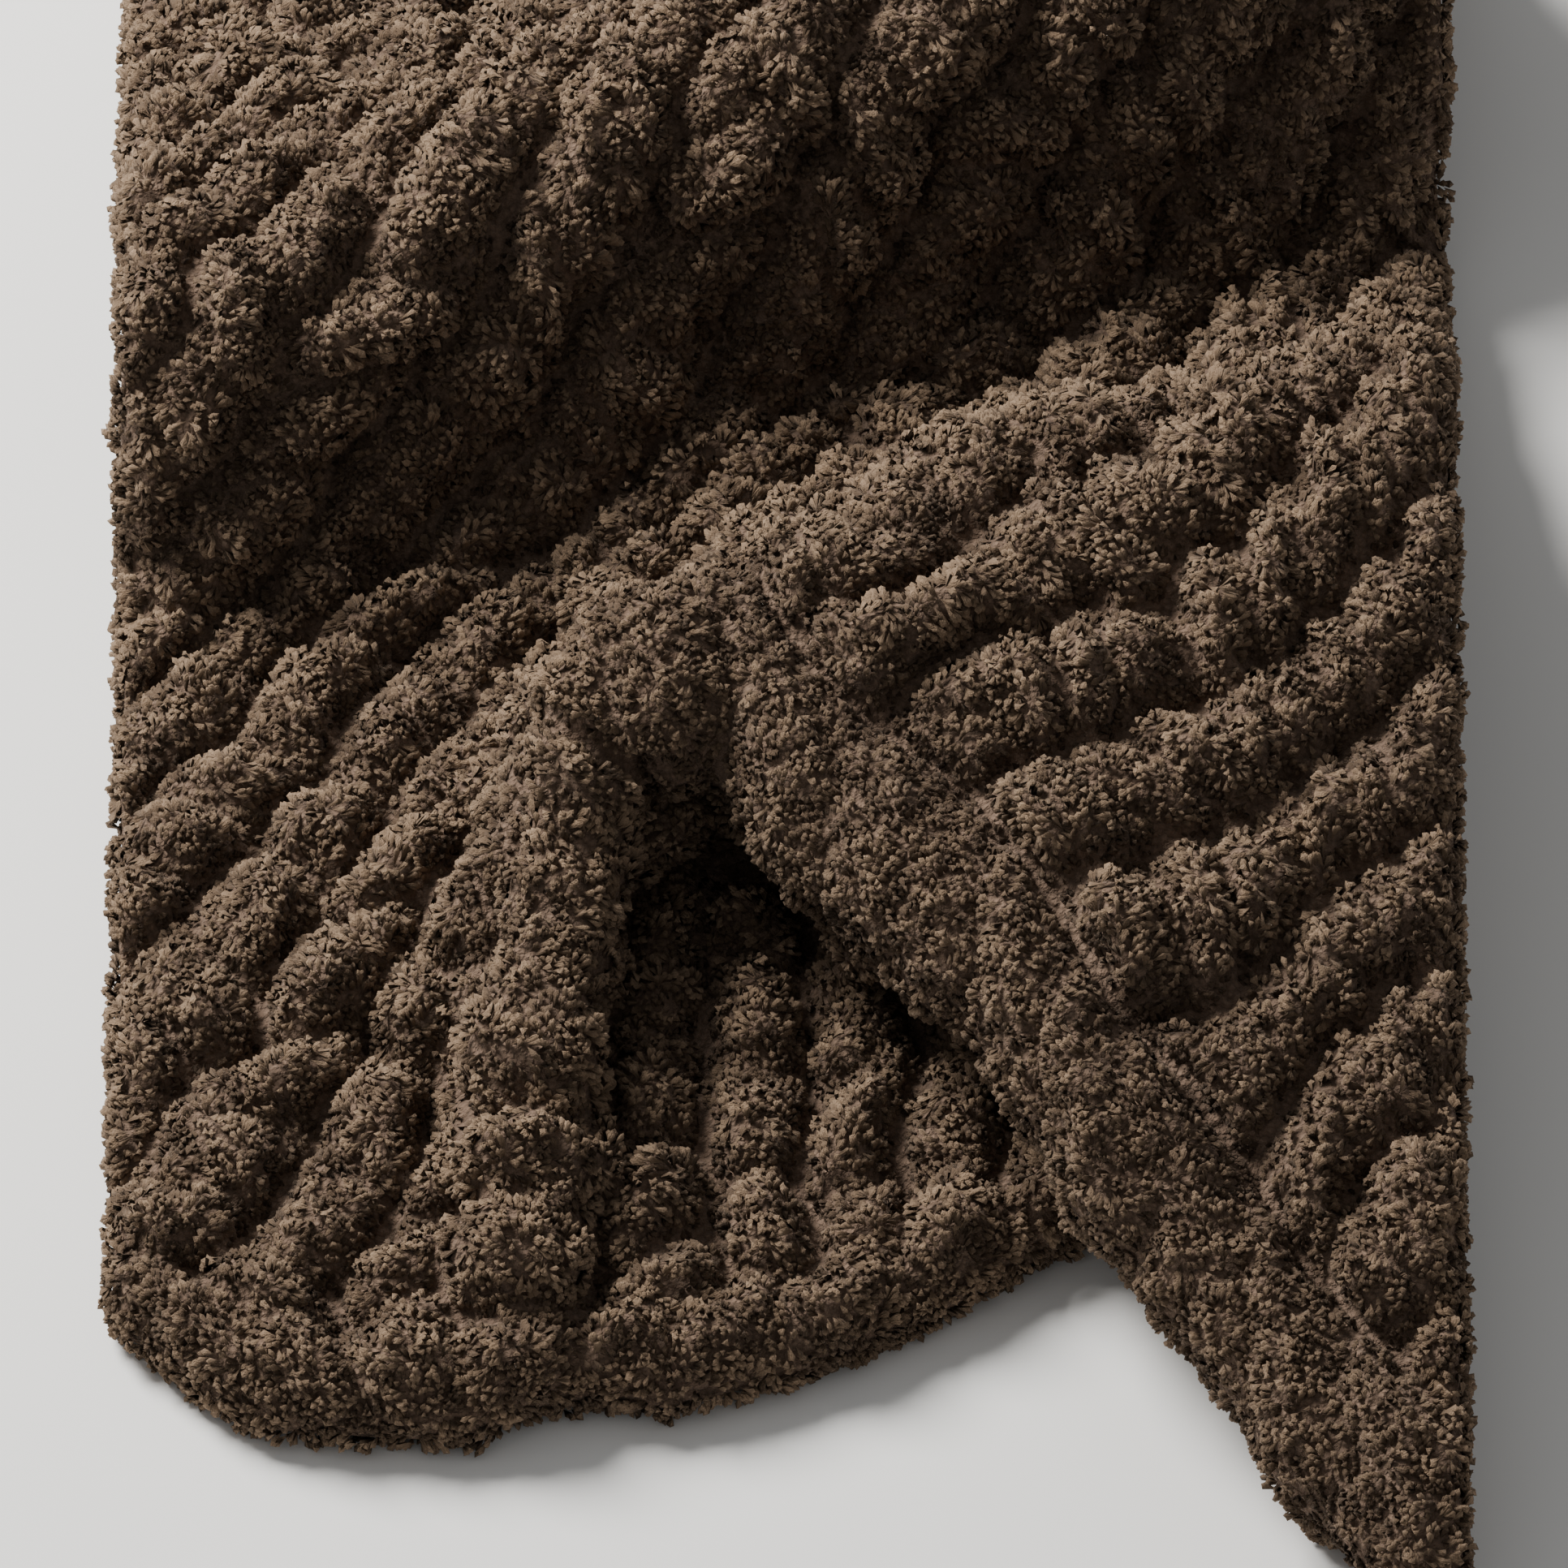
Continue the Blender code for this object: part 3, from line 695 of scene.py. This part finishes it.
def grain_mesh(name, grains):
    """One mesh of many grains. Each is closed, narrow at its root, widest at its belly and blunt."""
    root, growth, length = grains["root"], grains["growth"], grains["length"]
    cross = unit(np.cross(growth, grains["twist"]))
    other = np.cross(growth, cross)
    points = [root - growth * length * GRAIN_ROOT]
    places = [(0.0, 0.0, 0.0)]
    normals = [-growth]
    for k in range(GRAIN_SIDES):
        angle = 2 * math.pi * k / GRAIN_SIDES
        outward = cross * math.cos(angle) + other * math.sin(angle)
        points.append(root + growth * length * GRAIN_BELLY + outward * grains["radius"])
        places.append((math.cos(angle), math.sin(angle), BELLY_PLACE))
        normals.append(outward)
    points.append(root + growth * length * GRAIN_TIP)
    places.append((0.0, 0.0, 1.0))
    normals.append(growth)
    points = np.stack(points, axis=1) * MM
    points[:, :, 2] = np.maximum(points[:, :, 2], 0.0)
    normals = unit(np.stack(normals, axis=1) * OWN_SHADING + grains["puff"][:, None])
    faces = grain_faces(len(root))

    mesh = bpy.data.meshes.new(name)
    mesh.vertices.add(len(root) * GRAIN_POINTS)
    mesh.vertices.foreach_set("co", points.ravel())
    mesh.loops.add(faces.size)
    mesh.loops.foreach_set("vertex_index", faces.ravel().astype(np.int32))
    mesh.polygons.add(len(faces))
    mesh.polygons.foreach_set("loop_start", np.arange(0, faces.size, 3, dtype=np.int32))
    mesh.update()
    mesh.shade_smooth()
    mesh.normals_split_custom_set_from_vertices(normals.reshape(-1, 3).tolist())
    add_values(mesh, "tone", "FLOAT", "value", np.repeat(grains["tone"], GRAIN_POINTS))
    add_values(mesh, "out", "FLOAT", "value", np.repeat(grains["out"], GRAIN_POINTS))
    add_values(mesh, "place", "FLOAT_VECTOR", "vector", np.tile(places, (len(root), 1)).ravel())
    return mesh


def add_values(mesh, name, kind, field, values):
    """Gives each point of the mesh a number or a vector that its material reads."""
    mesh.attributes.new(name, kind, "POINT").data.foreach_set(field, values)


def new_material(name):
    """A new material, with its node tree and its shader."""
    material = bpy.data.materials.new(name)
    material.use_nodes = True
    return material, material.node_tree, material.node_tree.nodes["Principled BSDF"]


def set_inputs(tree, node, inputs):
    """Sets a node's inputs, each to a number, a colour or what another node gives."""
    for name, value in inputs.items():
        if isinstance(value, bpy.types.NodeSocket):
            tree.links.new(value, node.inputs[name])
        else:
            node.inputs[name].default_value = value


def add_node(tree, kind, inputs, gives, **settings):
    """A new shader node with its settings and inputs, and of it the output named in gives."""
    node = tree.nodes.new(kind)
    for name, value in settings.items():
        setattr(node, name, value)
    set_inputs(tree, node, inputs)
    return node.outputs[gives]


def read_values(tree, name, gives):
    """The value with this name that each point of a mesh has."""
    return add_node(tree, "ShaderNodeAttribute", {}, gives, attribute_name=name)


def multiply(tree, first, second):
    """The product of two values."""
    return add_node(tree, "ShaderNodeMath", {0: first, 1: second}, "Value", operation="MULTIPLY")


def scaled_sum(tree, first, scale, second):
    """The first value times the scale, plus the second value."""
    inputs = {0: first, 1: scale, 2: second}
    return add_node(tree, "ShaderNodeMath", inputs, "Value", operation="MULTIPLY_ADD")


def shade_from(tree, value, ranges):
    """The shade that a value gives: carried from the first range over to the second."""
    (low, high), (first, last) = ranges
    inputs = {"Value": value, "From Min": low, "From Max": high, "To Min": first, "To Max": last}
    return add_node(tree, "ShaderNodeMapRange", inputs, "Result")


def colour_ramp(tree, value, first, last, ends=(0.0, 1.0)):
    """A colour that turns from the first to the last as the value runs between the ends."""
    node = tree.nodes.new("ShaderNodeValToRGB")
    set_inputs(tree, node, {"Fac": value})
    for element, colour, place in zip(node.color_ramp.elements, (first, last), ends):
        element.color = (*colour, 1.0)
        element.position = place
    return node.outputs["Color"]


def bump(tree, height, size):
    """Fine unevenness of a surface, as a change of its normal."""
    strength, distance = size
    inputs = {"Height": height, "Strength": strength, "Distance": distance}
    return add_node(tree, "ShaderNodeBump", inputs, "Normal")


def pile_material():
    """Dark warm brown pile: each grain has its own tone and combed fibres, with painted shade at its root
    and in the knit's grooves and the creases between clumps.
    """
    material, tree, shader = new_material("chenille_pile")
    in_grain = read_values(tree, "place", "Vector")
    tone = read_values(tree, "tone", "Fac")
    out = read_values(tree, "out", "Fac")
    in_cloth = add_node(tree, "ShaderNodeTexCoord", {}, "Object")
    along_grain = add_node(tree, "ShaderNodeSeparateXYZ", {"Vector": in_grain}, "Z")

    own_pattern = multiply(tree, tone, FIBRE_CHANGE)
    fibre_inputs = {"Vector": in_grain, "W": own_pattern, "Scale": FIBRE_SCALE, "Detail": 3.0}
    fibres = add_node(tree, "ShaderNodeTexNoise", fibre_inputs, "Fac", noise_dimensions="4D")
    fuzz_inputs = {"Vector": in_cloth, "Scale": PILE_FUZZ_SCALE, "Detail": 2.0}
    fuzz = add_node(tree, "ShaderNodeTexNoise", fuzz_inputs, "Fac")

    # Painted shade: each grain's colour darkens towards its root
    root_shade = shade_from(tree, along_grain, ROOT_SHADE)
    streaks = shade_from(tree, fibres, STREAK_SHADE)
    # Painted shade in the knit's grooves and the creases between clumps, where real shade falls
    groove_shade = shade_from(tree, out, GROOVE_SHADE)
    shade = multiply(tree, multiply(tree, root_shade, streaks), groove_shade)
    own_colour = colour_ramp(tree, tone, PILE_DARK, PILE_LIGHT)
    shade_colour = colour_ramp(tree, shade, PILE_SHADE, WHITE)
    mix = {0: own_colour, 1: shade_colour}
    set_inputs(tree, shader, {
        "Base Color": add_node(tree, "ShaderNodeVectorMath", mix, "Vector", operation="MULTIPLY"),
        "Normal": bump(tree, scaled_sum(tree, fuzz, PILE_FUZZ_SHARE, fibres), PILE_BUMP),
        "Roughness": 0.92,
        "Specular IOR Level": 0.25,
        "Sheen Weight": 0.22,
        "Sheen Roughness": 0.45,
        "Sheen Tint": (*PILE_SHEEN, 1.0),
    })
    return material


def ground_material():
    """The yarn under the pile, and the cloth's back: short fuzz in small clumps, painted darker as shade in
    the creases between them.
    """
    material, tree, shader = new_material("chenille_ground")
    in_cloth = add_node(tree, "ShaderNodeTexCoord", {}, "Object")
    clump_inputs = {"Vector": in_cloth, "Scale": GROUND_CLUMP_SCALE}
    clumps = add_node(tree, "ShaderNodeTexVoronoi", clump_inputs, "Distance")
    fuzz_inputs = {"Vector": in_cloth, "Scale": GROUND_FUZZ_SCALE, "Detail": 3.0}
    fuzz = add_node(tree, "ShaderNodeTexNoise", fuzz_inputs, "Fac")
    set_inputs(tree, shader, {
        # Painted shade: darker towards the clumps' edges, where the bump sinks
        "Base Color": colour_ramp(tree, clumps, GROUND_LIGHT, GROUND_CREASE_SHADE, GROUND_CLUMP_EDGES),
        "Normal": bump(tree, scaled_sum(tree, clumps, GROUND_CLUMP_SHARE, fuzz), GROUND_BUMP),
        "Roughness": 0.95,
        "Specular IOR Level": 0.2,
        "Sheen Weight": 0.25,
        "Sheen Roughness": 0.5,
        "Sheen Tint": (*GROUND_SHEEN, 1.0),
    })
    return material


def floor_material():
    """A smooth pale board, almost white."""
    material, tree, shader = new_material("pale_floor")
    set_inputs(tree, shader, {"Base Color": (*FLOOR_COLOUR, 1.0), "Roughness": 0.6})
    return material


def build_cloth(upper, under):
    """The knitted cloth itself, under its pile."""
    ground = ground_material()
    cloth = add_piece("cloth", closed_mesh("cloth", upper, under), ground)
    fuse_folds(cloth)
    cloth.data.materials.clear()
    cloth.data.materials.append(ground)
    return cloth


def build_pile(cloth, upper, under, edge, out):
    """Grains all over the cloth, in rounded clumps, as several pieces."""
    chance = np.random.default_rng(SEED)
    back_share = np.where(edge[:-1, :-1] < EDGE_RADIUS, 1.0, BACK_SHARE)
    face = scatter(upper, out, 1.0, 1.0, chance)
    back = scatter(under, np.ones_like(out), -1.0, back_share, chance)
    lifted = back[0][:, 2] > CLEAR_OF_FLOOR
    parts = [face, [values[lifted] for values in back]]
    for strip, outward in rim_strips(upper, under):
        parts.append(scatter(strip, np.full(strip.shape[:2], RIM_OUT), outward, RIM_SHARE, chance))
    spots, facing, out = (np.concatenate(values) for values in zip(*parts))
    seen = in_the_open(spots, cloth)
    spots, facing, out = spots[seen], facing[seen], out[seen]
    grains = grow(spots, facing, out, chance)
    material = pile_material()
    order = np.argsort(spots[:, 1])
    pieces = []
    for n in range(0, len(order), GRAINS_A_PIECE):
        part = order[n:n + GRAINS_A_PIECE]
        name = f"pile_{len(pieces) + 1}"
        mesh = grain_mesh(name, {key: values[part] for key, values in grains.items()})
        pieces.append(add_piece(name, mesh, material))
    return pieces


def look_at(holder, target, away, distance):
    """Puts a camera or a lamp at a distance from its target, looking at it."""
    holder.location = target + away * distance
    holder.rotation_euler = (-away).to_track_quat("-Z", "Y").to_euler()


def build_camera(target):
    """The camera that took the photo, from in front and above."""
    camera = bpy.data.cameras.new("camera")
    camera.sensor_width = CAMERA_SENSOR
    camera.lens = CAMERA_SENSOR * CAMERA_DISTANCE / PHOTO_WIDTH
    camera.clip_end = CAMERA_REACH
    holder = add_object("camera", camera)
    away = Vector((0.0, -math.cos(CAMERA_HEIGHT_ANGLE), math.sin(CAMERA_HEIGHT_ANGLE)))
    look_at(holder, target, away, CAMERA_DISTANCE)
    bpy.context.scene.camera = holder


def build_floor():
    """The pale surface that the blanket lies on."""
    mesh = bpy.data.meshes.new("floor")
    corners = [(x * FLOOR_HALF, y * FLOOR_HALF, 0) for x, y in ((-1, -1), (1, -1), (1, 1), (-1, 1))]
    mesh.from_pydata(corners, [], [(0, 1, 2, 3)])
    floor = add_object("floor", mesh)
    mesh.materials.append(floor_material())


def build_lights():
    """The lamp and the light from all round."""
    lamp = bpy.data.lights.new("key", "AREA")
    lamp.shape = "DISK"
    lamp.size = LAMP_SIZE
    lamp.energy = LAMP_WATTS
    lamp.color = LAMP_COLOUR
    look_at(add_object("key", lamp), Vector(), Vector(LAMP_FROM).normalized(), LAMP_DISTANCE)
    world = bpy.data.worlds.new("studio")
    world.use_nodes = True
    sky = world.node_tree.nodes["Background"]
    set_inputs(world.node_tree, sky, {"Color": (*SKY_COLOUR, 1.0), "Strength": SKY_STRENGTH})
    bpy.context.scene.world = world


def build_scene():
    """The blanket on its floor, centred as the part is, with the lights and the camera."""
    upper, under, edge, out = build_sheet()
    middle = centre_in_tables(upper, under)
    upper -= middle
    under -= middle
    build_camera(Vector((-middle * MM).tolist()))
    build_floor()
    build_lights()
    cloth = build_cloth(upper, under)
    pile = build_pile(cloth, upper, under, edge, out)
    flat_size = (WIDTH * MM, average_length() * MM)


build_scene()
